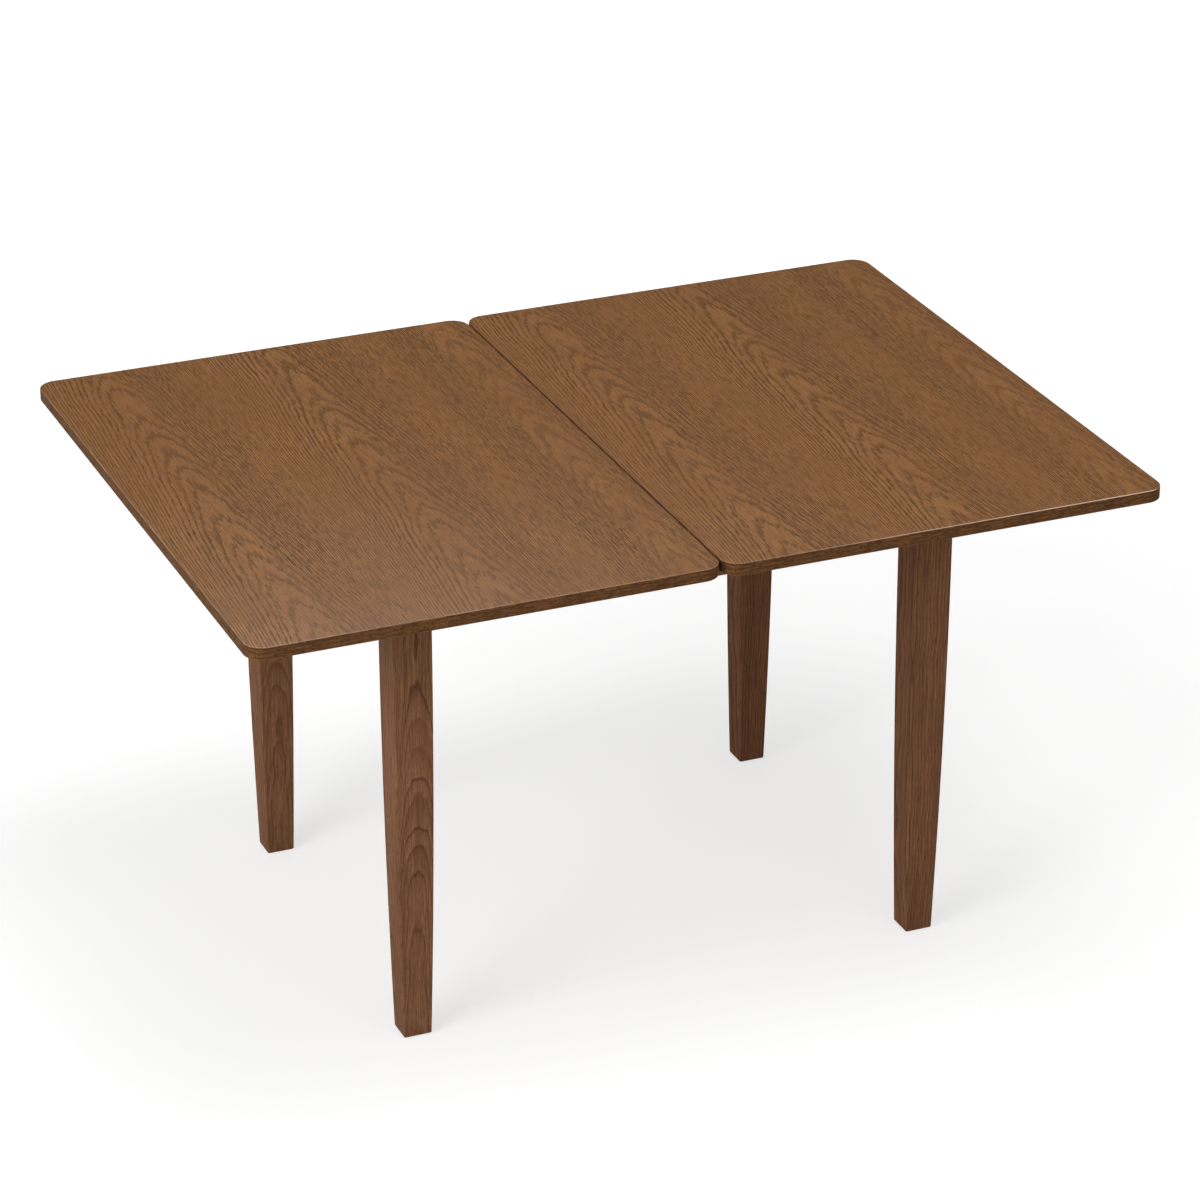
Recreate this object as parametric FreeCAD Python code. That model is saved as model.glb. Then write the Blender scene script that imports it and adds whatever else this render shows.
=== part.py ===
import FreeCAD, Part
import math
import os

# Extending dining table, shown open. Two equal leaves meet at a seam over the
# leg frame. To close it, the left leaf folds over onto the right leaf on
# concealed barrel hinges, and the folded top turns a quarter on its pivot so
# that it covers the frame.
# Frame of the part: millimetres, origin on the floor under the middle of the
# open top, X along the length, Y to the back, Z up.

# Sizes of the top
leaf_length = 649.0
leaf_depth = 945.0
leaf_thickness = 18.0
leaf_corner_radius = 26.5
leaf_arris_radius = 1.5
seam_gap = 2.0
table_height = 710.0
fold_clearance = 0.5

# Sizes of the leg frame
end_overhang = 65.0
side_overhang = 11.0
frame_offset = 4.0
apron_height = 75.0
apron_thickness = 20.0
apron_setback = 4.0
apron_arris_radius = 1.5
leg_top_width = 55.5
leg_foot_width = 40.0
leg_shoulder_drop = 5.0
leg_foot_ease = 1.0
taper_shares = (0.75, 0.5, 0.25, 0.0)
leg_arris_radius = 2.0
glide_radius = 12.0
glide_height = 2.0
glide_edge = 0.6
glide_stem_radius = 2.5
glide_stem_length = 16.0

# Sizes of the corner blocks and their fixings
leg_flat_depth = 8.0
block_thickness = 28.0
block_height = 50.0
block_board_clearance = 2.0
bolt_radius = 4.0
bolt_end_clearance = 1.0
bolt_spacing = 26.0
bolt_head_width = 13.0
bolt_head_height = 5.3
bolt_hole_clearance = 0.5
bolt_washer_radius = 8.0
bolt_washer_thickness = 1.6
insert_radius = 6.5
insert_length = 20.0
insert_clearance = 0.05
block_screw_length = 32.0
block_screw_radius = 2.0
block_screw_head_radius = 4.0
block_screw_bite = 13.0
block_screw_inset = 11.0

# Sizes of the cross rails and the pivot board that they carry
rail_thickness = 22.0
rail_height = 45.0
rail_spacing = 80.0
bracket_leg = 28.0
bracket_width = 26.0
bracket_thickness = 2.0
bracket_screw_length = 15.0
bracket_screw_radius = 1.8
bracket_screw_head_radius = 3.6
bracket_screw_head_height = 1.9
board_thickness = 18.0
board_back_reach = 120.0
board_apron_clearance = 2.0
board_side_margin = 13.0
board_corner_radius = 12.0
board_screw_length = 38.0
board_screw_radius = 2.0
board_screw_head_radius = 4.2
board_screw_inset = 26.0
felt_thickness = 2.0
felt_width = 12.0
felt_end_margin = 6.0

# Sizes of the pivot under the right leaf
top_clearance = 0.3
turn_degrees = 90.0
turn_plate_radius = 62.0
turn_plate_thickness = 3.0
plate_screw_radius = 2.2
plate_screw_head_radius = 4.6
plate_screw_length = 14.0
plate_screw_circle = 52.0
pivot_bolt_radius = 6.0
pivot_head_radius = 11.0
pivot_head_height = 2.6
pivot_running_clearance = 0.05
bush_wall = 3.0
bush_flange_radius = 24.0
bush_flange_thickness = 2.0
pivot_washer_radius = 17.0
pivot_washer_thickness = 2.5
pivot_nut_width = 19.0
pivot_nut_height = 11.0
pivot_bolt_end = 3.0
stop_pin_radius = 4.0
stop_pin_circle = 38.0
stop_pin_reach = 14.0
stop_pin_clearance = 0.3
stop_start_degrees = 45.0

# Sizes of the concealed barrel hinges in the seam
hinge_place_shares = (-0.37, 0.0, 0.37)
barrel_skin = 2.0
barrel_length = 26.0
barrel_recess = 0.2
barrel_fit = 0.05
link_pin_radius = 1.0
link_pin_clearance = 0.05
link_pin_cover = 0.75
link_pin_end_recess = 0.2
link_eye_radius = 1.5
link_half_width = 1.25
link_drop = 5.6
link_plate_thickness = 1.4
link_plate_gap = 0.15
barrel_slot_margin = 0.8

# One overrun serves all cuts
overrun = 5.0

# Levels and places that follow from the sizes
leaf_underside = table_height - leaf_thickness
frame_top = leaf_underside - top_clearance - felt_thickness
apron_bottom = frame_top - apron_height
leg_shoulder = apron_bottom - leg_shoulder_drop
leg_x = leaf_depth / 2 - end_overhang - leg_top_width / 2
leg_y = leaf_length / 2 - side_overhang - leg_top_width / 2
apron_outer_x = leg_x + leg_top_width / 2 - apron_setback
apron_outer_y = leg_y + leg_top_width / 2 - apron_setback
apron_inner_x = apron_outer_x - apron_thickness
apron_inner_y = apron_outer_y - apron_thickness
leaf_middle_x = (seam_gap + leaf_length) / 2
pivot_offset = (leaf_middle_x - frame_offset) / 2
pivot_x = frame_offset + pivot_offset
pivot_y = -pivot_offset
board_top = leaf_underside - turn_plate_thickness - top_clearance - bush_flange_thickness
board_bottom = board_top - board_thickness
corners = {
    "front_left": (-1, -1),
    "front_right": (1, -1),
    "back_left": (-1, 1),
    "back_right": (1, 1),
}
up = FreeCAD.Vector(0, 0, 1)
along_x = FreeCAD.Vector(1, 0, 0)
along_y = FreeCAD.Vector(0, 1, 0)

os.makedirs("parts", exist_ok=True)


def save(name, solids):
    """Write one named sub-part: one solid, or a group of separate solids."""
    shapes = solids if isinstance(solids, list) else [solids]
    whole = []
    for shape in shapes:
        whole.extend(shape.Solids)
    shape = whole[0] if len(whole) == 1 else Part.Compound(whole)
    shape.exportStep("parts/" + name + ".step")
    print(name, len(whole), "solid(s)", round(shape.Volume))


def point(x, y, z):
    return FreeCAD.Vector(x, y, z)


def block_between(low, high):
    """A rectangular block between two opposite corners."""
    size = high.sub(low)
    return Part.makeBox(size.x, size.y, size.z, low)


def rod(radius, start, direction, length):
    """A round rod that starts at a point and runs along a direction."""
    return Part.makeCylinder(radius, length, start, direction)


def prism(points, travel):
    """A straight-sided outline swept along a vector."""
    face = Part.Face(Part.makePolygon(points + points[:1]))
    return face.extrude(travel)


def turned(profile, start, direction):
    """A (radius, distance) profile turned about a line through start."""
    points = [point(radius, 0, distance) for radius, distance in profile]
    solid = Part.Face(Part.makePolygon(points + points[:1])).revolve(point(0, 0, 0), up, 360)
    solid.Placement = FreeCAD.Placement(start, FreeCAD.Rotation(up, direction))
    return solid


def countersunk_screw(radius, head_radius, length, start, direction):
    """A screw whose flush head lies at start, pointing along direction."""
    head = head_radius - radius
    profile = [
        (0, 0),
        (head_radius, 0),
        (radius, head),
        (radius, length),
        (0, length),
    ]
    return turned(profile, start, direction)


def pan_screw(radius, head_radius, head_height, length, start, direction):
    """A screw whose head stands on the surface at start."""
    profile = [
        (0, -head_height),
        (head_radius / 2, -head_height),
        (head_radius, 0),
        (radius, 0),
        (radius, length),
        (0, length),
    ]
    return turned(profile, start, direction)


def washer(inner, outer, thickness, start, direction):
    return rod(outer, start, direction, thickness).cut(rod(inner, start, direction, thickness))


def hexagon(width, height, start, direction):
    """A hexagonal head or nut of a given width across its flats."""
    reach = width / 2 / math.cos(math.radians(30))
    points = []
    for step in range(6):
        angle = math.radians(60 * step)
        points.append(point(reach * math.cos(angle), reach * math.sin(angle), 0))
    solid = prism(points, point(0, 0, height))
    solid.Placement = FreeCAD.Placement(start, FreeCAD.Rotation(up, direction))
    return solid


def upright_edges(shape):
    """The edges of a shape that run up and down rather than level."""
    chosen = []
    for edge in shape.Edges:
        if edge.BoundBox.ZLength > max(edge.BoundBox.XLength, edge.BoundBox.YLength):
            chosen.append(edge)
    return chosen


def edges_at_level(shape, level, slack):
    """The edges of a shape that lie flat at one level."""
    chosen = []
    for edge in shape.Edges:
        box = edge.BoundBox
        if abs(box.ZMin - level) < slack and abs(box.ZMax - level) < slack:
            chosen.append(edge)
    return chosen


# Leaves: veneered board with rounded corners in plan and softened arrises
def leaf_panel(side):
    """The leaf on one side of the seam; side is -1 for left, 1 for right."""
    middle = side * leaf_middle_x
    low = point(middle - leaf_length / 2, -leaf_depth / 2, leaf_underside)
    high = point(middle + leaf_length / 2, leaf_depth / 2, table_height)
    panel = block_between(low, high)
    panel = panel.makeFillet(leaf_corner_radius, upright_edges(panel))
    slack = leaf_arris_radius / 10
    rims = edges_at_level(panel, table_height, slack)
    rims += edges_at_level(panel, leaf_underside, slack)
    return panel.makeFillet(leaf_arris_radius, rims)


# Barrel hinges: a forked barrel in each leaf edge, a cross pin in each fork,
# and hooked link plates that carry the fold round the corner of the board
barrel_radius = leaf_thickness / 2 - barrel_skin
barrel_z = table_height - leaf_thickness / 2
link_pin_depth = barrel_skin + link_eye_radius + link_pin_cover
link_pin_x = link_pin_depth + fold_clearance / 2
link_pin_z = table_height - link_pin_depth
link_pin_crown = link_pin_z + link_pin_radius - barrel_z
link_pin_half = math.sqrt(barrel_radius ** 2 - link_pin_crown ** 2) - link_pin_end_recess
link_outer_y = link_plate_thickness / 2 + link_plate_gap + link_plate_thickness
barrel_front = seam_gap / 2 + barrel_recess
hinge_places = [share * leaf_depth for share in hinge_place_shares]


def barrel_bore(side, place):
    start = point(side * seam_gap / 2 - side * overrun, place, barrel_z)
    reach = barrel_front + barrel_length + barrel_recess - seam_gap / 2 + overrun
    return rod(barrel_radius + barrel_fit, start, along_x * side, reach)


def barrel(side, place):
    """One forked barrel: a round plug, slotted where the links turn."""
    front = point(side * barrel_front, place, barrel_z)
    body = rod(barrel_radius, front, along_x * side, barrel_length)
    slot_half = link_outer_y + link_plate_gap
    slot_end = link_pin_x + link_eye_radius + barrel_slot_margin
    near = point(min(0, side * slot_end), place - slot_half, barrel_z - leaf_thickness)
    far = point(max(0, side * slot_end), place + slot_half, barrel_z + leaf_thickness)
    body = body.cut(block_between(near, far))
    return body.cut(link_pin(side, place))


def link_pin(side, place):
    start = point(side * link_pin_x, place - link_pin_half, link_pin_z)
    return rod(link_pin_radius, start, along_y, 2 * link_pin_half)


def link_plate(side, low_y):
    """A hooked plate: down from its pin, round the elbow, in to the seam."""
    thick = point(0, link_plate_thickness, 0)
    pin = point(side * link_pin_x, low_y, link_pin_z)
    elbow = point(side * link_pin_x, low_y, link_pin_z - link_drop)
    end = point(0, low_y, link_pin_z - link_drop)
    half = link_half_width
    outline = [
        point(pin.x - side * half, low_y, pin.z),
        point(pin.x + side * half, low_y, pin.z),
        point(elbow.x + side * half, low_y, elbow.z),
        point(elbow.x, low_y, elbow.z - half),
        point(end.x, low_y, end.z - half),
        point(end.x, low_y, end.z + half),
        point(elbow.x - side * half, low_y, elbow.z + half),
    ]
    plate = prism(outline, thick)
    plate = plate.fuse(rod(link_eye_radius, pin, along_y, link_plate_thickness))
    plate = plate.fuse(rod(link_eye_radius, end, along_y, link_plate_thickness))
    plate = plate.cut(rod(link_pin_radius + link_pin_clearance, pin, along_y, link_plate_thickness))
    return plate.removeSplitter()


def hinge_set(side):
    """The barrels, cross pins and bores of one leaf."""
    barrels = [barrel(side, place) for place in hinge_places]
    pins = [link_pin(side, place) for place in hinge_places]
    bores = [barrel_bore(side, place) for place in hinge_places]
    return barrels, pins, bores


base_barrels, base_pins, base_bores = hinge_set(1)
fold_barrels, fold_pins, fold_bores = hinge_set(-1)
save("hinge_barrels_base", base_barrels)
save("hinge_barrels_fold", fold_barrels)
save("hinge_pins_base", base_pins)
save("hinge_pins_fold", fold_pins)

base_links = []
fold_links = []
for place in hinge_places:
    base_links.append(link_plate(1, place - link_plate_thickness / 2))
    fold_links.append(link_plate(-1, place - link_outer_y))
    fold_links.append(link_plate(-1, place + link_outer_y - link_plate_thickness))
save("hinge_links_base", base_links)
save("hinge_links_fold", fold_links)

# Pivot: a round steel plate under the right leaf, a bolt that hangs from it
# through a flanged bush in the board, and a stop pin that runs in an arc slot

def at_pivot(radius, degrees, level):
    """A place round the pivot at one level."""
    angle = math.radians(degrees)
    return point(pivot_x + radius * math.cos(angle), pivot_y + radius * math.sin(angle), level)


plate_screws = []
for quarter in range(4):
    start = at_pivot(plate_screw_circle, 90 * quarter, leaf_underside - turn_plate_thickness)
    plate_screws.append(
        countersunk_screw(plate_screw_radius, plate_screw_head_radius, plate_screw_length, start, up)
    )

pivot_washer_z = board_bottom - top_clearance - pivot_washer_thickness
pivot_nut_z = pivot_washer_z - pivot_nut_height
pivot_bolt_length = leaf_underside - pivot_nut_z + pivot_bolt_end
pivot_bolt_profile = [
    (0, 0),
    (pivot_head_radius, 0),
    (pivot_bolt_radius, pivot_head_height),
    (pivot_bolt_radius, pivot_bolt_length - pivot_bolt_end / 3),
    (pivot_bolt_radius - pivot_bolt_end / 3, pivot_bolt_length),
    (0, pivot_bolt_length),
]
pivot_bolt = turned(pivot_bolt_profile, at_pivot(0, 0, leaf_underside), up * -1)
pivot_washer = washer(
    pivot_bolt_radius,
    pivot_washer_radius,
    pivot_washer_thickness,
    at_pivot(0, 0, pivot_washer_z),
    up,
)
pivot_nut = hexagon(pivot_nut_width, pivot_nut_height, at_pivot(0, 0, pivot_nut_z), up)
pivot_nut = pivot_nut.cut(pivot_bolt)
stop_pin_bottom = board_top - stop_pin_reach
stop_pin = rod(
    stop_pin_radius,
    at_pivot(stop_pin_circle, stop_start_degrees, stop_pin_bottom),
    up,
    leaf_underside - stop_pin_bottom,
)
turn_plate = rod(
    turn_plate_radius,
    at_pivot(0, 0, leaf_underside - turn_plate_thickness),
    up,
    turn_plate_thickness,
)
turn_plate = turn_plate.cut(plate_screws + [pivot_bolt, stop_pin])

bush_outer = pivot_bolt_radius + pivot_running_clearance + bush_wall
bush_profile = [
    (pivot_bolt_radius + pivot_running_clearance, -board_thickness),
    (bush_outer, -board_thickness),
    (bush_outer, 0),
    (bush_flange_radius, 0),
    (bush_flange_radius, bush_flange_thickness),
    (pivot_bolt_radius + pivot_running_clearance, bush_flange_thickness),
]
pivot_bush = turned(bush_profile, at_pivot(0, 0, board_top), up)

base_leaf = leaf_panel(1).cut(base_bores + plate_screws)
fold_leaf = leaf_panel(-1).cut(fold_bores)
save("base_leaf", base_leaf)
save("fold_leaf", fold_leaf)
save("turn_plate", turn_plate)
save("turn_plate_screws", plate_screws)
save("pivot_bolt", pivot_bolt)
save("pivot_washer", pivot_washer)
save("pivot_nut", pivot_nut)
save("turn_stop_pin", stop_pin)
save("pivot_bush", pivot_bush)

# Legs: square at the apron, each face curving in towards the foot
block_top = board_bottom - block_board_clearance
block_bottom = block_top - block_height
block_middle = (block_top + block_bottom) / 2
bolt_levels = [block_middle - bolt_spacing / 2, block_middle + bolt_spacing / 2]
leg_half = leg_top_width / 2
foot_half = leg_foot_width / 2
flat_distance = leg_half * math.sqrt(2) - leg_flat_depth


def rounded_square(half, level):
    """A level outline of the leg, with its arrises rounded."""
    inner = half - leg_arris_radius
    bulge = inner + leg_arris_radius * math.sqrt(2) / 2
    edges = []
    for quarter in range(4):
        turn = FreeCAD.Rotation(up, 90 * quarter)
        start = turn.multVec(point(half, -inner, 0))
        end = turn.multVec(point(half, inner, 0))
        round_middle = turn.multVec(point(bulge, bulge, 0))
        round_end = turn.multVec(point(inner, half, 0))
        edges.append(Part.makeLine(start, end))
        edges.append(Part.Arc(end, round_middle, round_end).toShape())
    wire = Part.Wire(edges)
    wire.translate(up * level)
    return wire


def taper_half(share):
    """Half of the leg's width at a share of the way from shoulder to foot."""
    inset = leg_half - foot_half
    taper_height = leg_shoulder - glide_height
    sweep_radius = (taper_height ** 2 + inset ** 2) / (2 * inset)
    return leg_half - sweep_radius + math.sqrt(sweep_radius ** 2 - (share * taper_height) ** 2)


def leg_blank():
    """A leg about its own upright axis: a straight top, a curved taper, an eased foot."""
    top = Part.Face(rounded_square(leg_half, leg_shoulder)).extrude(up * (frame_top - leg_shoulder))
    ease_level = glide_height + leg_foot_ease
    taper_height = leg_shoulder - glide_height
    sections = [rounded_square(foot_half, ease_level)]
    for share in taper_shares:
        sections.append(rounded_square(taper_half(share), leg_shoulder - share * taper_height))
    taper = Part.makeLoft(sections, True)
    foot = Part.makeLoft(
        [rounded_square(foot_half - leg_foot_ease, glide_height), rounded_square(foot_half, ease_level)],
        True,
        True,
    )
    return top.fuse([taper, foot])


# Corner fixings: a diagonal block behind each leg, two bolts through it into
# threaded inserts in the leg, and screws from the block into the aprons
def corner_point(signs, inward_x, inward_y, level):
    """A place given by how far it lies inward of a leg's axis."""
    x = frame_offset + signs[0] * (leg_x - inward_x)
    y = signs[1] * (leg_y - inward_y)
    return point(x, y, level)


def diagonal_point(signs, distance, level):
    share = distance / math.sqrt(2)
    return corner_point(signs, share, share, level)


def outward_diagonal(signs):
    return point(signs[0], signs[1], 0).normalize()


def corner_block(signs):
    near = flat_distance * math.sqrt(2)
    far = (flat_distance + block_thickness) * math.sqrt(2)
    wall_x = leg_x - apron_inner_x
    wall_y = leg_y - apron_inner_y
    outline = [
        corner_point(signs, wall_x, near - wall_x, block_bottom),
        corner_point(signs, wall_x, far - wall_x, block_bottom),
        corner_point(signs, far - wall_y, wall_y, block_bottom),
        corner_point(signs, near - wall_y, wall_y, block_bottom),
    ]
    return prism(outline, up * block_height)


def leg_flat_cut(signs):
    """The wedge taken off the leg's inner corner where the block seats."""
    near = flat_distance * math.sqrt(2)
    outline = [
        corner_point(signs, near - leg_half - overrun, leg_half + overrun, block_bottom),
        corner_point(signs, leg_half + overrun, near - leg_half - overrun, block_bottom),
        corner_point(signs, leg_half + overrun, leg_half + overrun, block_bottom),
    ]
    return prism(outline, up * (frame_top - block_bottom + overrun))


def block_screws(signs):
    """One screw into each of the two aprons that meet at a corner."""
    screws = []
    wall_x = leg_x - apron_inner_x
    wall_y = leg_y - apron_inner_y
    far = (flat_distance + block_thickness) * math.sqrt(2)
    head = block_screw_length - block_screw_bite
    to_end = corner_point(signs, wall_x + head, far - wall_x - head - block_screw_inset, block_middle)
    to_side = corner_point(signs, far - wall_y - head - block_screw_inset, wall_y + head, block_middle)
    for start, direction in ((to_end, along_x * signs[0]), (to_side, along_y * signs[1])):
        screws.append(
            countersunk_screw(
                block_screw_radius,
                block_screw_head_radius,
                block_screw_length,
                start,
                direction,
            )
        )
    return screws


all_bolts = []
all_washers = []
all_inserts = []
all_block_screws = []
all_glides = []
blank = leg_blank()
for name, signs in corners.items():
    outward = outward_diagonal(signs)
    leg = blank.copy()
    leg.translate(corner_point(signs, 0, 0, 0))
    leg = leg.cut(leg_flat_cut(signs))
    block = corner_block(signs)
    screws = block_screws(signs)
    for level in bolt_levels:
        seat = diagonal_point(signs, flat_distance, level)
        back = diagonal_point(signs, flat_distance + block_thickness, level)
        washer_back = diagonal_point(signs, flat_distance + block_thickness + bolt_washer_thickness, level)
        head_back = washer_back.sub(outward * bolt_head_height)
        shank_length = bolt_washer_thickness + block_thickness + insert_length - bolt_end_clearance
        bolt = hexagon(bolt_head_width, bolt_head_height, head_back, outward)
        bolt = bolt.fuse(rod(bolt_radius, washer_back, outward, shank_length))
        block = block.cut(rod(bolt_radius + bolt_hole_clearance, back, outward, block_thickness))
        leg = leg.cut(rod(insert_radius, seat, outward, insert_length))
        all_bolts.append(bolt)
        all_washers.append(
            washer(
                bolt_radius + bolt_hole_clearance,
                bolt_washer_radius,
                bolt_washer_thickness,
                washer_back,
                outward,
            )
        )
        all_inserts.append(
            washer(bolt_radius + insert_clearance, insert_radius, insert_length, seat, outward)
        )
    foot = corner_point(signs, 0, 0, 0)
    glide_profile = [
        (0, 0),
        (glide_radius - glide_edge, 0),
        (glide_radius, glide_edge),
        (glide_radius, glide_height),
        (glide_stem_radius, glide_height),
        (glide_stem_radius, glide_height + glide_stem_length),
        (0, glide_height + glide_stem_length),
    ]
    glide = turned(glide_profile, foot, up)
    leg = leg.cut(glide)
    all_glides.append(glide)
    driver_holes = []
    driver_reach = block_thickness + overrun
    for screw, direction in zip(screws, [along_x * signs[0], along_y * signs[1]]):
        start = screw.Placement.Base
        driver_holes.append(
            rod(block_screw_head_radius, start, direction * -1, driver_reach)
        )
    block = block.cut(screws + driver_holes)
    all_block_screws.extend(screws)
    save("leg_" + name, leg)
    save("corner_block_" + name, block)
save("leg_bolts", all_bolts)
save("leg_bolt_washers", all_washers)
save("leg_inserts", all_inserts)
save("corner_block_screws", all_block_screws)
save("foot_glides", all_glides)

# Cross rails: two front-to-back rails that carry the pivot board
rails = {}
bracket_list = []
bracket_screw_list = []
for name, side in (("left", -1), ("right", 1)):
    middle = pivot_x + side * rail_spacing / 2
    low = point(middle - rail_thickness / 2, -apron_inner_y, board_bottom - rail_height)
    high = point(middle + rail_thickness / 2, apron_inner_y, board_bottom)
    rails[name] = block_between(low, high)
    rail_face = middle - rail_thickness / 2
    bracket_middle = board_bottom - rail_height / 2
    for end in (-1, 1):
        wall = end * apron_inner_y
        bottom = bracket_middle - bracket_width / 2
        outline = [
            point(rail_face, wall, bottom),
            point(rail_face - bracket_leg, wall, bottom),
            point(rail_face - bracket_leg, wall - end * bracket_thickness, bottom),
            point(rail_face - bracket_thickness, wall - end * bracket_thickness, bottom),
            point(rail_face - bracket_thickness, wall - end * bracket_leg, bottom),
            point(rail_face, wall - end * bracket_leg, bottom),
        ]
        bracket = prism(outline, up * bracket_width)
        reach = (bracket_leg + bracket_thickness) / 2
        on_wall = point(rail_face - reach, wall - end * bracket_thickness, bracket_middle)
        on_rail = point(rail_face - bracket_thickness, wall - end * reach, bracket_middle)
        pair = []
        for start, direction in ((on_wall, along_y * end), (on_rail, along_x)):
            pair.append(
                pan_screw(
                    bracket_screw_radius,
                    bracket_screw_head_radius,
                    bracket_screw_head_height,
                    bracket_screw_length,
                    start,
                    direction,
                )
            )
        bracket_list.append(bracket.cut(pair))
        bracket_screw_list.extend(pair)

# Pivot board: plywood, with the bore for the bush and the arc slot
slot_half_width = stop_pin_radius + stop_pin_clearance
board_front = -apron_inner_y + board_apron_clearance
board_back = pivot_y + board_back_reach
board_half = turn_plate_radius + board_side_margin
board = block_between(
    point(pivot_x - board_half, board_front, board_bottom),
    point(pivot_x + board_half, board_back, board_top),
)
board = board.makeFillet(board_corner_radius, upright_edges(board))


def arc_slot():
    """A slot with round ends that lets the stop pin swing a quarter turn."""
    inner = stop_pin_circle - slot_half_width
    outer = stop_pin_circle + slot_half_width
    start = stop_start_degrees
    stop = stop_start_degrees + turn_degrees
    middle = (start + stop) / 2
    bottom = board_bottom - overrun

    def cap(degrees, sense):
        centre = at_pivot(stop_pin_circle, degrees, bottom)
        angle = math.radians(degrees + sense * 90)
        reach = point(math.cos(angle), math.sin(angle), 0) * slot_half_width
        return centre.add(reach)

    edges = [
        Part.Arc(
            at_pivot(outer, start, bottom),
            at_pivot(outer, middle, bottom),
            at_pivot(outer, stop, bottom),
        ).toShape(),
        Part.Arc(at_pivot(outer, stop, bottom), cap(stop, 1), at_pivot(inner, stop, bottom)).toShape(),
        Part.Arc(
            at_pivot(inner, stop, bottom),
            at_pivot(inner, middle, bottom),
            at_pivot(inner, start, bottom),
        ).toShape(),
        Part.Arc(at_pivot(inner, start, bottom), cap(start, -1), at_pivot(outer, start, bottom)).toShape(),
    ]
    face = Part.Face(Part.Wire(edges))
    return face.extrude(up * (board_thickness + 2 * overrun))


board_screw_list = []
for side in (-1, 1):
    for place in (board_front + board_screw_inset, board_back - board_screw_inset):
        start = point(pivot_x + side * rail_spacing / 2, place, board_top)
        board_screw_list.append(
            countersunk_screw(
                board_screw_radius,
                board_screw_head_radius,
                board_screw_length,
                start,
                up * -1,
            )
        )
bush_hole = rod(bush_outer, at_pivot(0, 0, board_bottom - overrun), up, board_thickness + 2 * overrun)
board = board.cut([bush_hole, arc_slot()] + board_screw_list)
save("pivot_board", board)
save("pivot_board_screws", board_screw_list)
for name, rail in rails.items():
    save("cross_rail_" + name, rail.cut(board_screw_list + bracket_screw_list))
save("rail_brackets", bracket_list)
save("rail_bracket_screws", bracket_screw_list)

# Aprons: four boards between the legs, with felt on top for the turning leaf
apron_ends = leg_x - leg_half
apron_sides = leg_y - leg_half


def apron(low, high, arris_axis):
    """A straight apron with its two lower long arrises rounded."""
    board_blank = block_between(low, high)
    chosen = []
    for edge in edges_at_level(board_blank, apron_bottom, apron_arris_radius / 10):
        along = edge.BoundBox.XLength if arris_axis == "x" else edge.BoundBox.YLength
        if along > apron_thickness:
            chosen.append(edge)
    return board_blank.makeFillet(apron_arris_radius, chosen)


felts = []
for name, side in (("front", -1), ("back", 1)):
    near = min(side * apron_inner_y, side * apron_outer_y)
    far = max(side * apron_inner_y, side * apron_outer_y)
    low = point(frame_offset - apron_ends, near, apron_bottom)
    high = point(frame_offset + apron_ends, far, frame_top)
    piece = apron(low, high, "x")
    save("apron_" + name, piece.cut(all_block_screws + bracket_screw_list))
    middle = side * (apron_inner_y + apron_outer_y) / 2
    felts.append(
        block_between(
            point(frame_offset - apron_ends + felt_end_margin, middle - felt_width / 2, frame_top),
            point(
                frame_offset + apron_ends - felt_end_margin,
                middle + felt_width / 2,
                frame_top + felt_thickness,
            ),
        )
    )
for name, side in (("left", -1), ("right", 1)):
    near = frame_offset + min(side * apron_inner_x, side * apron_outer_x)
    far = frame_offset + max(side * apron_inner_x, side * apron_outer_x)
    low = point(near, -apron_sides, apron_bottom)
    high = point(far, apron_sides, frame_top)
    piece = apron(low, high, "y")
    save("apron_" + name, piece.cut(all_block_screws))
    middle = frame_offset + side * (apron_inner_x + apron_outer_x) / 2
    felts.append(
        block_between(
            point(middle - felt_width / 2, felt_end_margin - apron_sides, frame_top),
            point(
                middle + felt_width / 2,
                apron_sides - felt_end_margin,
                frame_top + felt_thickness,
            ),
        )
    )
save("felt_strips", felts)
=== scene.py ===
import bpy
import numpy as np
from mathutils import Matrix, Vector


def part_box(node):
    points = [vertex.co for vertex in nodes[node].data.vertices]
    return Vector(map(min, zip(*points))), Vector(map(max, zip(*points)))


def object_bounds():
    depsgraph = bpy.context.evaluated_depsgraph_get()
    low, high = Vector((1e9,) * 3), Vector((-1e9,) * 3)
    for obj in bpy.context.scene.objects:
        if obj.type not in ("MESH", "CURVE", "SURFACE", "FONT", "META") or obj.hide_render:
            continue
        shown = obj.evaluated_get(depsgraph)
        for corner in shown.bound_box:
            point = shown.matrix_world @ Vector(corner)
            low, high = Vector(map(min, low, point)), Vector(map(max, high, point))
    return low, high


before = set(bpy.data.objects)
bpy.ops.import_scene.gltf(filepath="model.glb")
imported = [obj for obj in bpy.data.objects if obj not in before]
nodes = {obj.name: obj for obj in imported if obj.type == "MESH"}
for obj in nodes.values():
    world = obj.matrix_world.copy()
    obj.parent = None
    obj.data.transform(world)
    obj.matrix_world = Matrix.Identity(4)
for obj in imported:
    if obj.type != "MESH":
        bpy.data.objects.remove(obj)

# ---------------------------------------------------------------- the table
# An extending dining table, open: two leaves side by side on a leg frame.
# Its wood, board, steel, brass, felt and plastic parts all come from the CAD
# frame. Here each of them gets its finish, and the leaves' arrises their wear.
cad_low, cad_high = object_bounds()


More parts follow.
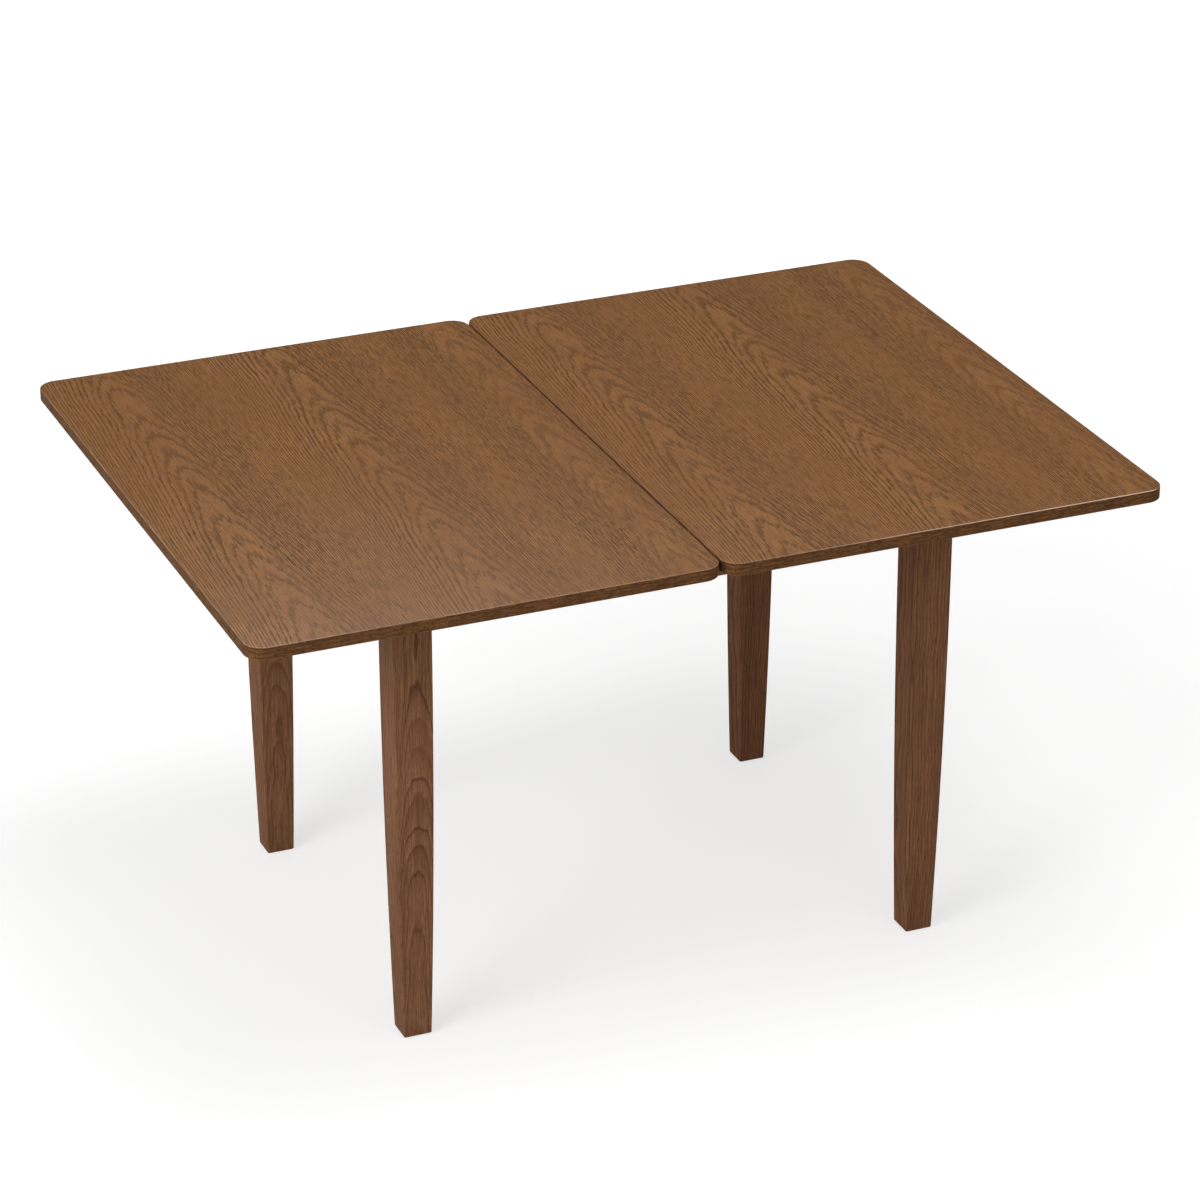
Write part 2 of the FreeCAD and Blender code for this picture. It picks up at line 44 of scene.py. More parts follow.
# ---------------------------------------------------------------- the view
# The camera stands in front of the table, to its left, and looks down on it.
# Its place, turn and lens were fitted to the corners of the top and the feet.
view_place = Vector((-2.1848, -5.2648, 3.1343))
view_right = Vector((0.92234, -0.38639, 0.0))
view_up = Vector((0.16427, 0.39213, 0.90512))
view_lens = bpy.data.cameras.new("view")
view_lens.sensor_width = 36.0
view_lens.lens = 134.389
view_lens.clip_end = 100.0
view = bpy.data.objects.new("view", view_lens)
view.matrix_world = Matrix.Translation(view_place) @ Matrix(
    (view_right, view_up, view_right.cross(view_up))
).transposed().to_4x4()
bpy.context.scene.collection.objects.link(view)
bpy.context.scene.camera = view
bpy.context.scene.view_settings.view_transform = "Standard"


# ---------------------------------------------------------------- the studio
# A pale seamless floor and three soft boxes: the key from the left, a large one
# overhead, a weak one in front. A small lamp close over the top is seen only in
# reflections, and lays the sheen on the left leaf's front corner.
floor_half = 14.0
glow_at_table = 0.66
glow_gain = 0.30
glow_reach = (0.8, 3.4)
room_level = 0.26


def written(red, green, blue):
    """The linear colour of an 8-bit one.

    ((c/255 + 0.055) / 1.055)**2.4 for each part c, or c/255/12.92 where dark.
    """
    share = np.array((red, green, blue)) / 255.0
    linear = np.where(share > 0.04045, ((share + 0.055) / 1.055) ** 2.4, share / 12.92)
    return (*linear.tolist(), 1.0)


class Amount:
    """A number that differs from point to point of a surface: a node's output.

    A sum, difference, product or quotient with it is one Math node.
    """

    def __init__(self, tree, socket):
        self.tree = tree
        self.socket = socket

    def __add__(self, other):
        return worked(self.tree, "ADD", self, other)

    def __sub__(self, other):
        return worked(self.tree, "SUBTRACT", self, other)

    def __rsub__(self, other):
        return worked(self.tree, "SUBTRACT", other, self)

    def __mul__(self, other):
        return worked(self.tree, "MULTIPLY", self, other)

    def __truediv__(self, other):
        return worked(self.tree, "DIVIDE", self, other)

    def __mod__(self, other):
        return worked(self.tree, "MODULO", self, other)

    def __abs__(self):
        return worked(self.tree, "ABSOLUTE", self)

    def root(self):
        """The square root."""
        return worked(self.tree, "SQRT", self)

    def whole(self):
        """The largest whole number that isn't larger."""
        return worked(self.tree, "FLOOR", self)

    def part(self):
        """What is left over that whole number."""
        return worked(self.tree, "FRACT", self)

    def zigzag(self, top):
        """Up from 0 to the top and down again, over and over."""
        return worked(self.tree, "PINGPONG", self, top)

    def or_more(self, other):
        """The larger of the two."""
        return worked(self.tree, "MAXIMUM", self, other)

    def ramp(self, low, high):
        """0 up to low, 1 from high on, and a smooth step between them.

        t*t*(3 - 2*t), where t = (amount - low) / (high - low), kept within 0 to 1.
        Where low is above high, the ramp falls.
        """
        node = self.tree.nodes.new("ShaderNodeMapRange")
        node.interpolation_type = "SMOOTHSTEP"
        ends = (high, low, 1.0, 0.0) if low > high else (low, high, 0.0, 1.0)
        for socket, value in zip(node.inputs, (self, *ends)):
            set_input(self.tree, socket, value)
        return Amount(self.tree, node.outputs[0])


def set_input(tree, socket, value):
    """Joins an amount, a vector or a colour to the socket, or writes a plain value."""
    value = value.socket if isinstance(value, Amount) else value
    if isinstance(value, bpy.types.NodeSocket):
        tree.links.new(value, socket)
    else:
        socket.default_value = value


def worked(tree, operation, *values):
    """The outcome of one Math node: the operation of one or two values."""
    node = tree.nodes.new("ShaderNodeMath")
    node.operation = operation
    for socket, value in zip(node.inputs, values):
        set_input(tree, socket, value)
    return Amount(tree, node.outputs[0])


def mixed(tree, share, first, second):
    """The colour first, gone over to second by the share from 0 to 1."""
    node = tree.nodes.new("ShaderNodeMix")
    node.data_type = "RGBA"
    sockets = (node.inputs[0], node.inputs[6], node.inputs[7])
    for socket, value in zip(sockets, (share, first, second)):
        set_input(tree, socket, value)
    return node.outputs[2]


def new_finish(name):
    """A material with one shader, as (material, tree, shader)."""
    material = bpy.data.materials.new(name)
    material.use_nodes = True
    return material, material.node_tree, material.node_tree.nodes["Principled BSDF"]


def place_of(tree):
    """The piece's own coordinates in metres, as (vector, x, y, z)."""
    place = tree.nodes.new("ShaderNodeTexCoord").outputs["Object"]
    split = tree.nodes.new("ShaderNodeSeparateXYZ")
    tree.links.new(place, split.inputs[0])
    return place, *(Amount(tree, axis) for axis in split.outputs)


def seen_by(tree, *rays):
    """1 for the named kinds of ray, which look at a surface, and 0 for all others."""
    path = tree.nodes.new("ShaderNodeLightPath")
    seen = Amount(tree, path.outputs[rays[0]])
    for ray in rays[1:]:
        seen = seen.or_more(path.outputs[ray])
    return seen


# The floor throws light back as white paint does. To the camera it is grey paint
# with a glow of its own, which leaves only a soft shadow under the table.
floor_white = written(236, 236, 236)
floor_grey = written(176, 176, 176)
floor_corners = floor_half * np.array([(-1, -1, 0), (1, -1, 0), (1, 1, 0), (-1, 1, 0)])
floor_mesh = bpy.data.meshes.new("floor")
floor_mesh.from_pydata(floor_corners.tolist(), [], [(0, 1, 2, 3)])
floor = bpy.data.objects.new("floor", floor_mesh)
bpy.context.scene.collection.objects.link(floor)
floor_finish, tree, shader = new_finish("floor_paint")
_, x, y, _ = place_of(tree)
floor_colour = mixed(tree, seen_by(tree, "Is Camera Ray"), floor_white, floor_grey)
set_input(tree, shader.inputs["Base Color"], floor_colour)
shader.inputs["Roughness"].default_value = 0.9
shader.inputs["Specular IOR Level"].default_value = 0.1
shader.inputs["Emission Color"].default_value = (1.0, 1.0, 1.0, 1.0)
from_table = (x * x + y * y).root()
glow = from_table.ramp(*glow_reach) * glow_gain + glow_at_table
seen = seen_by(tree, "Is Camera Ray", "Is Glossy Ray")
set_input(tree, shader.inputs["Emission Strength"], seen * glow)
floor_mesh.materials.append(floor_finish)

# The air of the room is white to look at, and dimmer as a light.
room = bpy.data.worlds.new("room")
bpy.context.scene.world = room
room.use_nodes = True
tree = room.node_tree
air = tree.nodes["Background"]
air.inputs["Color"].default_value = (1.0, 1.0, 1.0, 1.0)
seen = seen_by(tree, "Is Camera Ray", "Is Glossy Ray", "Is Transmission Ray")
set_input(tree, air.inputs["Strength"], seen * (1.0 - room_level) + room_level)


def soft_box(name, place, aim, size, power):
    """A square lamp, size metres wide, at a place and turned to its aim."""
    lamp = bpy.data.lights.new(name, "AREA")
    lamp.shape = "SQUARE"
    lamp.size = size
    lamp.energy = power
    held = bpy.data.objects.new(name, lamp)
    turn = (Vector(place) - Vector(aim)).to_track_quat("Z", "Y")
    held.matrix_world = Matrix.Translation(Vector(place)) @ turn.to_matrix().to_4x4()
    bpy.context.scene.collection.objects.link(held)
    return held


soft_box("key_box", (-4.07, -1.90, 2.60), (0.0, 0.0, 0.4), size=2.6, power=135.0)
soft_box("top_box", (0.6, -0.6, 5.2), (0.0, 0.0, 0.7), size=2.8, power=102.0)
soft_box("front_box", (0.4, -4.3, 2.9), (0.0, 0.0, 0.4), size=2.6, power=28.0)
sheen_box = soft_box(
    "sheen_box", (-0.21, 0.34, 1.78), (-0.55, -0.42, 0.71), size=0.4, power=620.0
)
sheen_box.visible_diffuse = False
sheen_box.visible_camera = False


# ---------------------------------------------------------------- the leaves
# Two boards veneered with crown-cut oak, stained brown and sealed satin. Each
# face is three flitches of the same log, so each shows three rows of arches.
# A lipping of the same oak runs round the edge, with its own straight grain.
leaf_length = 0.649
leaf_depth = 0.945
leaf_thickness = 0.018
leaf_left_edge = -0.650
leaf_front = -leaf_depth / 2
leaf_top = float(cad_high.z)
seam_gap = 0.002

oak_pale = written(162, 115, 72)
oak_mid = written(128, 88, 57)
oak_dark = written(92, 63, 40)
oak_pore = written(69, 47, 30)
oak_edge = written(118, 80, 49)
# The pale of the upper arrises: rubbed stain, and a painted highlight.
oak_rubbed_and_glint = written(226, 206, 190)


def vector_of(tree, x, y, z):
    """One vector of three values."""
    node = tree.nodes.new("ShaderNodeCombineXYZ")
    for socket, value in zip(node.inputs, (x, y, z)):
        set_input(tree, socket, value)
    return node.outputs[0]


def grained(tree, place, scale, detail=2.0, rough=0.5):
    """Noise of about 0.3 to 0.7 at a place, in cells 1/scale wide."""
    node = tree.nodes.new("ShaderNodeTexNoise")
    set_input(tree, node.inputs["Vector"], place)
    node.inputs["Scale"].default_value = scale
    node.inputs["Detail"].default_value = detail
    node.inputs["Roughness"].default_value = rough
    return Amount(tree, node.outputs[0])


def streaks(tree, x, y, z, detail=1.0, rough=0.5):
    """Noise at three values, each scaled on its own, so that its cells draw out."""
    return grained(tree, vector_of(tree, x, y, z), 1.0, detail, rough)


def raised(tree, shader, height, depth):
    """Gives the shader a bump: height from 0 to 1, times depth in metres."""
    node = tree.nodes.new("ShaderNodeBump")
    node.inputs["Strength"].default_value = 1.0
    node.inputs["Distance"].default_value = depth
    set_input(tree, node.inputs["Height"], height)
    tree.links.new(node.outputs[0], shader.inputs["Normal"])


def seal_wood(tree, shader, colour, roughness, pore, fibre, shine, depth):
    """Gives the shader a wood's face, with its pores and fibres sunk in.

    height = 1 - (0.6 * pore + 0.4 * fibre), times depth in metres.
    """
    set_input(tree, shader.inputs["Base Color"], colour)
    set_input(tree, shader.inputs["Roughness"], roughness)
    shader.inputs["Specular IOR Level"].default_value = shine
    raised(tree, shader, 1.0 - (pore * 0.6 + fibre * 0.4), depth)


def dress(material, *names):
    """Gives the named nodes one material over their whole surface."""
    for name in names:
        mesh = nodes[name].data
        mesh.materials.clear()
        mesh.materials.append(material)


# Each flitch lies over the log's heart, which sinks evenly, drifts sideways and
# wavers up and down. From flitch to flitch the noise moves on by log_step.
flitch_width = 0.2525
flitch_start = -0.028
log_step = 3.7
heart_depth = 0.240
heart_slope = 0.020
heart_drift = 0.018
heart_waver = 0.0030
drift_cells = 3.2
waver_cells = 6.0

veneer, tree, shader = new_finish("stained_oak_veneer")
place, x, y, z = place_of(tree)
across = (x - leaf_left_edge) % (leaf_length + seam_gap)
flitches = (across - flitch_start) / flitch_width
flitch = flitches.whole()
log_place = flitch * log_step
drift = grained(tree, vector_of(tree, log_place, y, 0.0), drift_cells, 1.0) - 0.5
off_heart = (flitches.part() - 0.5) * flitch_width + drift * heart_drift
from_heart = abs(off_heart)
waver = grained(tree, vector_of(tree, log_place, y, 4.0), waver_cells, 1.0) - 0.5
depth = (y - leaf_front) * heart_slope + heart_depth + waver * heart_waver

# radius = length of (off_heart, depth), plus tip_slope * |off_heart|, which makes
# the arches' tips pointed. Each ring_width of it, more or less, is a ring, and
# starts dark with the early wood. Pores make the ring's edge ragged, in tongues
# that run with the grain. The streaks are so many to the metre across the grain,
# and along it; every other pair is the two ends of a ramp.
tip_slope = 0.016
ring_width = 0.0015
ring_uneven = 1.2
ring_ragged = 0.0010
heart_ragged = 0.0012
ragged_near = (0.070, 0.015)
tongue_streaks = (230.0, 26.0)
early_end = (0.42, 0.02)
early_start = (0.90, 1.0)

radius = (off_heart * off_heart + depth * depth).root() + from_heart * tip_slope
tongues = streaks(
    tree, across * tongue_streaks[0], y * tongue_streaks[1], flitch, 3.0, 0.6
)
ragged = from_heart.ramp(*ragged_near) * heart_ragged + ring_ragged
rings = (radius + (tongues - 0.5) * ragged) / ring_width
uneven = grained(tree, vector_of(tree, log_place, rings, 7.0), 0.5, 1.0)
ring_part = (rings + uneven * ring_uneven).part()
early_wood = ring_part.ramp(*early_end).or_more(ring_part.ramp(*early_start))

# Rings show most over the heart and on its left flank, where they draw out to
# lines, and less on the leaf's last flitch.
arches_near = (0.108, 0.078)
arches_share = 0.60
least_share = 0.12
flank_from = (-0.018, -0.040)
last_flitch_from = (0.47, 0.53)
last_flitch_less = 0.35

last_flitch = across.ramp(*last_flitch_from)
left_flank = off_heart.ramp(*flank_from) * (1.0 - last_flitch)
arches = from_heart.ramp(*arches_near) * arches_share + least_share
figure = arches.or_more(left_flank) * (1.0 - last_flitch * last_flitch_less)

# Fibres are lines that stray and break, fibre_lines of them to the metre. With
# the fine dark pores they fill the plain wood between the rows, and both are
# weaker where rings show.
fibre_lines = 330.0
fibre_from = (0.34, 0.72)
stray_by = 2.2
stray_streaks = (60.0, 4.0)
broken_by = 0.5
broken_streaks = (420.0, 9.0)
pore_from = (0.48, 0.62)
pore_streaks = (1300.0, 55.0)
plain_from = (0.010, 0.034)
heart_fibre = 0.49
plain_fibre = 0.25
last_flitch_fibre = 0.05
flank_fibre = 0.28

stray = streaks(tree, across * stray_streaks[0], y * stray_streaks[1], 1.5, 2.0, 0.6)
broken = streaks(tree, across * broken_streaks[0], y * broken_streaks[1], 8.5) - 0.5
fibre = (across * fibre_lines + stray * stray_by).zigzag(0.5) * 2.0
fibre = (fibre + broken * broken_by).ramp(*fibre_from)
pore = streaks(tree, across * pore_streaks[0], y * pore_streaks[1], 6.5)
pore = pore.ramp(*pore_from)
fibre_share = from_heart.ramp(*plain_from) * plain_fibre + heart_fibre
fibre_share = fibre_share + last_flitch * last_flitch_fibre - left_flank * flank_fibre

# The stain lies over it all in weak clouds.
pore_share = 0.8
stain_cells = 5.0
stain_from = (0.35, 0.65)
stain_share = 0.35

stain = grained(tree, place, stain_cells).ramp(*stain_from)
face_colour = mixed(tree, early_wood * figure, oak_pale, oak_dark)
face_colour = mixed(tree, fibre * fibre_share, face_colour, oak_dark)
face_colour = mixed(tree, pore * fibre_share * pore_share, face_colour, oak_pore)
face_colour = mixed(tree, stain * stain_share, face_colour, oak_mid)

# The lipping's grain follows the outline, since |y| - |x| grows along it. It
# shows on the flat of the edge, between the rounded arrises.
lip_from = (0.38, 0.60)
lip_streaks = (330.0, 24.0)
lip_pore_from = (0.50, 0.60)
lip_pore_share = 0.75
lip_pore_streaks = (900.0, 150.0)
half = leaf_thickness / 2
flat_from = (half - 0.0006, half - 0.0012)

along = abs(y) - abs(across - leaf_length / 2)
lip_grain = streaks(tree, along * lip_streaks[1], z * lip_streaks[0], flitch, 3.0, 0.65)
lip_pore = streaks(tree, along * lip_pore_streaks[1], z * lip_pore_streaks[0], 3.5)
lip_pore = lip_pore.ramp(*lip_pore_from) * lip_pore_share
lip_colour = mixed(tree, lip_grain.ramp(*lip_from), oak_edge, oak_dark)
lip_colour = mixed(tree, lip_pore, lip_colour, oak_pore)
on_edge = abs(z - (leaf_top - half)).ramp(*flat_from)
leaf_colour = mixed(tree, on_edge, face_colour, lip_colour)

# Along the upper arrises the colour goes over to a pale one: partly stain that
# handling has rubbed paler in patches, partly a painted highlight on the rounded
# arrises. Along the front one it grows towards the right corner, which is a
# painted glint. The two arrises in the seam guard each other from rubbing, so
# they get none of it, and painted shade darkens them for the shadow in the gap.
arris_start = (0.00002, 0.0001)
wear_and_glint_end = (0.0010, 0.0007)
patch_cells = 14.0
patch_from = (0.35, 0.65)
front_from = (leaf_front + 0.0045, leaf_front + 0.0015)
right_from = (0.0, 0.6)
least_wear_and_glint = 0.10
patch_wear = 0.08
front_glint = 0.65
seam_shadow_from = (0.0030, 0.0018)
seam_clear = (0.003, 0.010)
seam_shadow_share = 0.3

under_face = leaf_top - z
off_face = under_face.ramp(*arris_start)
on_arris = off_face * under_face.ramp(*wear_and_glint_end)
from_seam = abs(x)
patches = grained(tree, place, patch_cells, 3.0)
# Painted glint: the front arris grows paler towards the right corner.
at_front_right = y.ramp(*front_from) * x.ramp(*right_from)
wear_and_glint = patches.ramp(*patch_from) * patch_wear + least_wear_and_glint + at_front_right * front_glint
wear_and_glint = wear_and_glint * from_seam.ramp(*seam_clear)
# Painted shade: the arrises in the seam are darkened for the shadow in the gap.
seam_shadow = from_seam.ramp(*seam_shadow_from) * off_face
# The arrises go paler: rubbed stain, with a painted highlight and glint.
leaf_colour = mixed(tree, on_arris * wear_and_glint, leaf_colour, oak_rubbed_and_glint)
# Paints the shadow of the seam's gap onto its arrises.
leaf_colour = mixed(tree, seam_shadow * seam_shadow_share, leaf_colour, oak_pore)

satin = patches * 0.12 + 0.31 + pore * 0.08
seal_wood(tree, shader, leaf_colour, satin, pore, fibre, shine=0.003, depth=0.00028)
dress(veneer, "base_leaf", "fold_leaf")


# ---------------------------------------------------------------- the legs
# Solid legs sawn from darker, redder wood and stained to go with the top.
# The left pair is crown cut, so arches climb its front faces; the right pair
# is rift cut, with straight lines in front. Each tapers in a soft curve.
walnut_pale = written(140, 98, 70)
crown_pale = written(143, 102, 74)
walnut_dark = written(94, 61, 42)
walnut_line = written(74, 48, 35)
crown_scale = 35.0
heart_sway = 0.014
leg_ring_uneven = 1.6

# Shares of a ring: its shade grows over all of it, and its line lies at its end.
shade_from = (0.10, 0.90)
line_start = (0.66, 0.93)
line_end = (1.0, 0.93)
strong_from = (0.32, 0.62)


def leg_wood(
    name, pale, heart, lean, climb, ring, ragged, line_share, shade_share, seed, crown
):
    """Solid wood whose rings lie round a leaning heart line.

    radius = length of (x, y) - heart - lean * rise, plus
    crown * (off * crown_scale)**4, where off is the distance from the heart along
    x, and rise goes from 0 to 1 between the two heights of climb. A crown above 0
    gives arches with round tips and steep flanks. Each step of ring metres of
    the radius is a ring, with a dark line at its end.
    """
    material, tree, shader = new_finish(name)
    _, x, y, z = place_of(tree)

    def up_the_leg(over, step, detail=1.0, rough=0.5):
        """Streaks, over to the metre across the leg and step to the metre up it."""
        return streaks(tree, x * over, y * over, z * step + seed, detail, rough)

    # The rings, with a heart line that also sways, and ragged edges.
    sway = (grained(tree, vector_of(tree, seed, 0.5, z), 5.0) - 0.5) * heart_sway
    rise = z.ramp(*climb)
    away_x = x - (rise * lean[0] + heart[0] + sway)
    away_y = y - (rise * lean[1] + heart[1] + sway)
    radius = (away_x * away_x + away_y * away_y).root()
    if crown:
        off = away_x * crown_scale
        off = off * off
        radius = radius + off * off * crown
    radius = radius + (up_the_leg(80.0, 14.0, 3.0, 0.55) - 0.5) * ragged
    rings = radius / ring
    uneven = grained(tree, vector_of(tree, seed, rings, 7.0), 0.45, 1.0)
    rings = rings + uneven * leg_ring_uneven
    share = rings.part()
    shade = share.ramp(*shade_from)
    line = share.ramp(*line_start) * share.ramp(*line_end)
    strong = grained(tree, vector_of(tree, seed, rings, 2.0), 0.9, 1.0)
    line = line * strong.ramp(*strong_from)

    # The fibres, the pores and the clouds of the stain.
    fibre = up_the_leg(700.0, 16.0, 2.0, 0.7).ramp(0.40, 0.62)
    pore = up_the_leg(1600.0, 110.0).ramp(0.56, 0.68)
    cloud = up_the_leg(60.0, 4.0, 2.0).ramp(0.38, 0.66)

    colour = mixed(tree, shade * shade_share, pale, walnut_dark)
    colour = mixed(tree, cloud * 0.30, colour, walnut_dark)
    colour = mixed(tree, fibre * 0.55, colour, walnut_dark)
    colour = mixed(tree, line * line_share, colour, walnut_line)
    colour = mixed(tree, pore * 0.45, colour, walnut_line)
    satin = fibre * 0.12 + 0.44
    seal_wood(tree, shader, colour, satin, pore, fibre, shine=0.006, depth=0.00012)
    return material


def middle_of(name):
    """The middle of a node's box at rest."""
    low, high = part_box(name)
    return (low + high) / 2


for side, line_share, seed in (("front", 0.70, 2.0), ("back", 0.42, 9.0)):
    leg = "leg_%s_left" % side
    middle = middle_of(leg)
    crown_cut = leg_wood(
        "crown_cut_%s" % side,
        pale=crown_pale,
        heart=(middle.x + 0.001, middle.y + 0.016),
        lean=(0.004, 0.034),
        climb=(0.20, 0.58),
        ring=0.0048,
        ragged=0.0048,
        line_share=line_share,
        shade_share=0.26,
        seed=seed,
        crown=0.011,
    )
    dress(crown_cut, leg)

    leg = "leg_%s_right" % side
    middle = middle_of(leg)
    rift_cut = leg_wood(
        "rift_cut_%s" % side,
        pale=walnut_pale,
        heart=(middle.x + 0.110, middle.y + 0.030),
        lean=(-0.012, 0.020),
        climb=(0.0, 0.7),
        ring=0.0042,
        ragged=0.0030,
        line_share=0.55,
        shade_share=0.42,
        seed=seed + 3.0,
        crown=0.0,
    )
    dress(rift_cut, leg)


# ---------------------------------------------------------------- the aprons
# Four rails of the same stained wood. They butt against the legs without a
# tenon, and the corner blocks behind hold them. Their grain runs along them.
pore_black = (0.02, 0.013, 0.01, 1.0)


def straight_wood(name, along, pale, dark, seed, shine=0.006, rough=0.5):
    """Quarter-sawn wood with its grain along x (0), y (1) or z (2).

    Bands, fibres and pores are noise, drawn out 18 to 43 times along the grain.
    """
    material, tree, shader = new_finish(name)
    _, *axes = place_of(tree)

    def down_the_rail(over, step, shift, detail=2.0, rough=0.5):
        """Streaks, over to the metre across the rail and step to the metre along."""
        scaled = [
            axis * (step if at == along else over) + (seed + shift)
            for at, axis in enumerate(axes)
        ]
        return streaks(tree, *scaled, detail, rough)

    bands = down_the_rail(75.0, 2.0, 0.0).ramp(0.36, 0.64)
    fibre = down_the_rail(520.0, 12.0, 2.0, 2.0, 0.6).ramp(0.38, 0.64)
    pore = down_the_rail(1500.0, 85.0, 5.0, 1.0).ramp(0.56, 0.68)
    colour = mixed(tree, bands * 0.5, pale, dark)
    colour = mixed(tree, fibre * 0.4, colour, dark)
    colour = mixed(tree, pore * 0.4, colour, mixed(tree, 0.5, dark, pore_black))
    satin = fibre * 0.14 + rough
    seal_wood(tree, shader, colour, satin, pore, fibre, shine, depth=0.00012)
    return material


apron_x = straight_wood("apron_along_x", 0, walnut_pale, walnut_dark, seed=3.0)
apron_y = straight_wood("apron_along_y", 1, walnut_pale, walnut_dark, seed=8.0)
dress(apron_x, "apron_front", "apron_back")
dress(apron_y, "apron_left", "apron_right")


# ---------------------------------------------------------------- the bare timber
# Unseen timber is planed and left bare: pale corner blocks, set slantwise behind
# the legs and screwed to the aprons, and two cross rails, held by brackets, from
# the front apron to the back one.
bare_pale = written(196, 158, 112)
bare_dark = written(160, 120, 78)
bare_feel = {"shine": 0.2, "rough": 0.62}

blocks = straight_wood("bare_blocks", 0, bare_pale, bare_dark, seed=1.0, **bare_feel)
rails = straight_wood("bare_rails", 1, bare_pale, bare_dark, seed=6.0, **bare_feel)
dress(blocks, "corner_block_front_left", "corner_block_front_right")
dress(blocks, "corner_block_back_left", "corner_block_back_right")
dress(rails, "cross_rail_left", "cross_rail_right")


# ---------------------------------------------------------------- the pivot board
# A square of birch plywood screwed to the rails. Its bore holds a flanged nylon
# bush for the pivot bolt, and its arc slot stops the top after a quarter turn.
ply_low, ply_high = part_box("pivot_board")
ply_count = 13
ply_streaks = (380.0, 14.0)
birch_pale = written(208, 176, 132)
birch_dark = written(178, 141, 97)
end_grain = written(128, 92, 58)
glue_line = written(92, 60, 38)
nylon = written(222, 219, 208)
pit_cells = 900.0
flow_cells = 60.0

# Every second ply has its grain across, and shows end grain in the cut edges.
plywood, tree, shader = new_finish("birch_plywood")
_, x, y, z = place_of(tree)
plies = (z - ply_low.z) * (ply_count / (ply_high.z - ply_low.z))
odd_ply = (plies + 0.001).whole().zigzag(1.0)
along_x = streaks(tree, x * ply_streaks[1], y * ply_streaks[0], plies, 3.0, 0.6)
along_y = streaks(tree, x * ply_streaks[0], y * ply_streaks[1], plies, 3.0, 0.6)
fibre = along_x * (1.0 - odd_ply) + along_y * odd_ply
inside = plies.ramp(0.05, 0.2) * plies.ramp(ply_count - 0.05, ply_count - 0.2)
glue = plies.part().ramp(0.86, 0.98) * inside
ply_colour = mixed(tree, fibre.ramp(0.36, 0.64), birch_pale, birch_dark)
ply_colour = mixed(tree, odd_ply * inside * 0.55, ply_colour, end_grain)
ply_colour = mixed(tree, glue * 0.6, ply_colour, glue_line)
set_input(tree, shader.inputs["Base Color"], ply_colour)
set_input(tree, shader.inputs["Roughness"], fibre * 0.2 + 0.52)
shader.inputs["Specular IOR Level"].default_value = 0.25
raised(tree, shader, fibre, 0.00015)
dress(plywood, "pivot_board")


def moulded(name, colour, rough=0.42):
    """Moulded plastic: a fine spark-eroded grain and faint flow clouds."""
    material, tree, shader = new_finish(name)
    place = place_of(tree)[0]
    pits = grained(tree, place, pit_cells)
    flow = grained(tree, place, flow_cells)
    shade = (*(part * 0.8 for part in colour[:3]), 1.0)
    set_input(tree, shader.inputs["Base Color"], mixed(tree, flow * 0.3, colour, shade))
    set_input(tree, shader.inputs["Roughness"], pits * 0.2 + rough)
    raised(tree, shader, pits, 0.00004)
    return material


dress(moulded("bush_nylon", nylon), "pivot_bush")


# ---------------------------------------------------------------- the steel
# The turn plate, the brackets, the pivot bolt with its washer and nut, the stop
# pin and all screws are steel, zinc plated: pale, a little blue and mottled.
zinc_pale = written(196, 198, 200)
zinc_dark = written(150, 152, 154)
cloud_cells = 90.0
scratch_cells = 1400.0
brushed_cells = 30.0


def plated(name, colour, shade, rough, seed, brushed=None):
    """Metal with a cloudy skin and fine scratches.

    The scratches are noise of scratch_cells to the metre, and of brushed_cells
    along the brushed axis, x (0), y (1) or z (2), where there is one.
    """
    material, tree, shader = new_finish(name)
    _, x, y, z = place_of(tree)
    scales = [scratch_cells] * 3
    if brushed is not None:
        scales[brushed] = brushed_cells
    lines = streaks(tree, x * scales[0], y * scales[1], z * scales[2] + seed, 2.0)
    clouds = (x * cloud_cells + seed, y * cloud_cells, z * cloud_cells)
    cloud = streaks(tree, *clouds, 3.0).ramp(0.35, 0.68)
    dull = cloud * 0.12 + (rough - 0.08) + lines * 0.16
    set_input(tree, shader.inputs["Base Color"], mixed(tree, cloud, colour, shade))
    shader.inputs["Metallic"].default_value = 1.0
    set_input(tree, shader.inputs["Roughness"], dull)
    raised(tree, shader, lines, 0.00003)
    return material


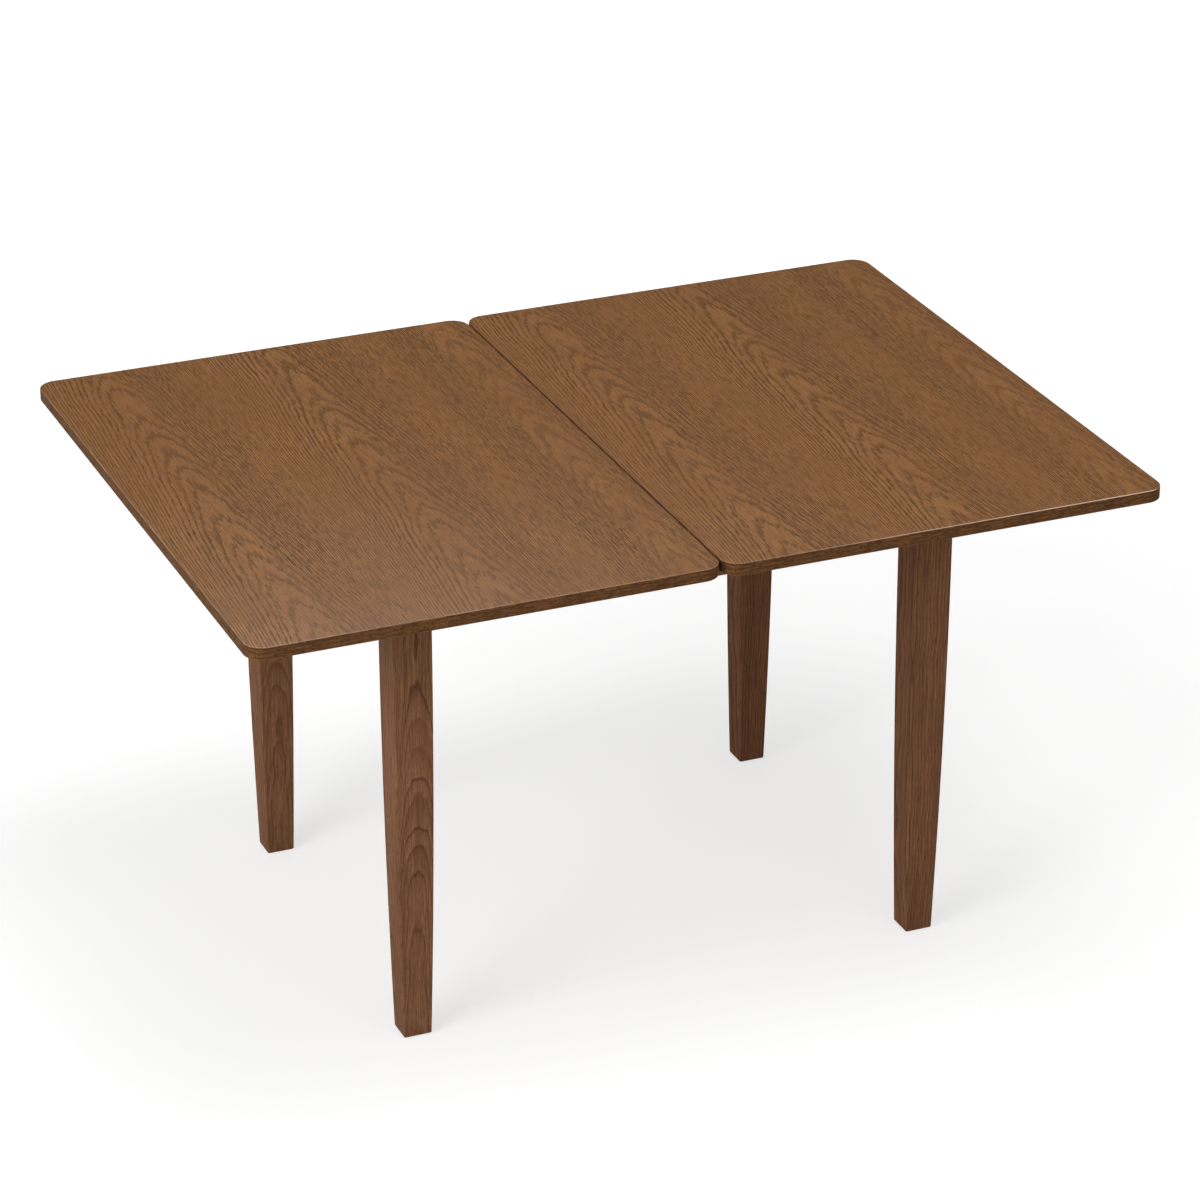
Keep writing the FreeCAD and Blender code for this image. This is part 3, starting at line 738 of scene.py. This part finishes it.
plate = plated("plate_zinc", zinc_pale, zinc_dark, 0.42, seed=1.0, brushed=0)
bracket = plated("bracket_zinc", zinc_pale, zinc_dark, 0.45, seed=2.0, brushed=2)
screw = plated("screw_zinc", zinc_pale, zinc_dark, 0.34, seed=3.0)
dress(plate, "turn_plate")
dress(bracket, "rail_brackets")
dress(screw, "turn_plate_screws", "pivot_board_screws", "corner_block_screws")
dress(screw, "rail_bracket_screws", "leg_bolts", "leg_bolt_washers")
dress(screw, "pivot_bolt", "pivot_washer", "pivot_nut", "turn_stop_pin")
dress(screw, "hinge_pins_base", "hinge_pins_fold")


# ---------------------------------------------------------------- the brass
# Three concealed barrel hinges join the leaves: forked brass barrels let into
# the seam edges, with stamped link plates. The leg inserts are yellower.
barrel_pale, barrel_dark = written(206, 172, 104), written(166, 130, 70)
link_pale, link_dark = written(190, 158, 96), written(150, 118, 64)
insert_pale, insert_dark = written(212, 180, 96), written(170, 136, 64)

barrel = plated("barrel_brass", barrel_pale, barrel_dark, 0.36, seed=4.0)
link = plated("link_brass", link_pale, link_dark, 0.40, seed=5.0, brushed=1)
insert = plated("insert_brass", insert_pale, insert_dark, 0.40, seed=6.0)
dress(barrel, "hinge_barrels_base", "hinge_barrels_fold")
dress(link, "hinge_links_base", "hinge_links_fold")
dress(insert, "leg_inserts")


# ---------------------------------------------------------------- felt and glides
# Strips of dark felt are glued along the aprons' upper edges, so that the top
# turns on them without a mark. Each foot stands on a hard plastic glide.
felt_dark = written(44, 36, 31)
felt_pale = written(72, 60, 52)
felt_lump = written(30, 25, 22)
felt_sheen = written(150, 128, 112)
glide_brown = written(58, 46, 40)

felt, tree, shader = new_finish("pressed_felt")
place = place_of(tree)[0]
fluff = grained(tree, place, 420.0, 4.0, 0.7)
lumps = grained(tree, place, 60.0)
felt_colour = mixed(tree, fluff.ramp(0.35, 0.65), felt_dark, felt_pale)
felt_colour = mixed(tree, lumps * 0.3, felt_colour, felt_lump)
set_input(tree, shader.inputs["Base Color"], felt_colour)
set_input(tree, shader.inputs["Roughness"], fluff * 0.1 + 0.9)
shader.inputs["Specular IOR Level"].default_value = 0.02
shader.inputs["Sheen Weight"].default_value = 0.06
shader.inputs["Sheen Roughness"].default_value = 0.5
shader.inputs["Sheen Tint"].default_value = felt_sheen
raised(tree, shader, fluff, 0.0005)
dress(felt, "felt_strips")
dress(moulded("glide_plastic", glide_brown, rough=0.5), "foot_glides")
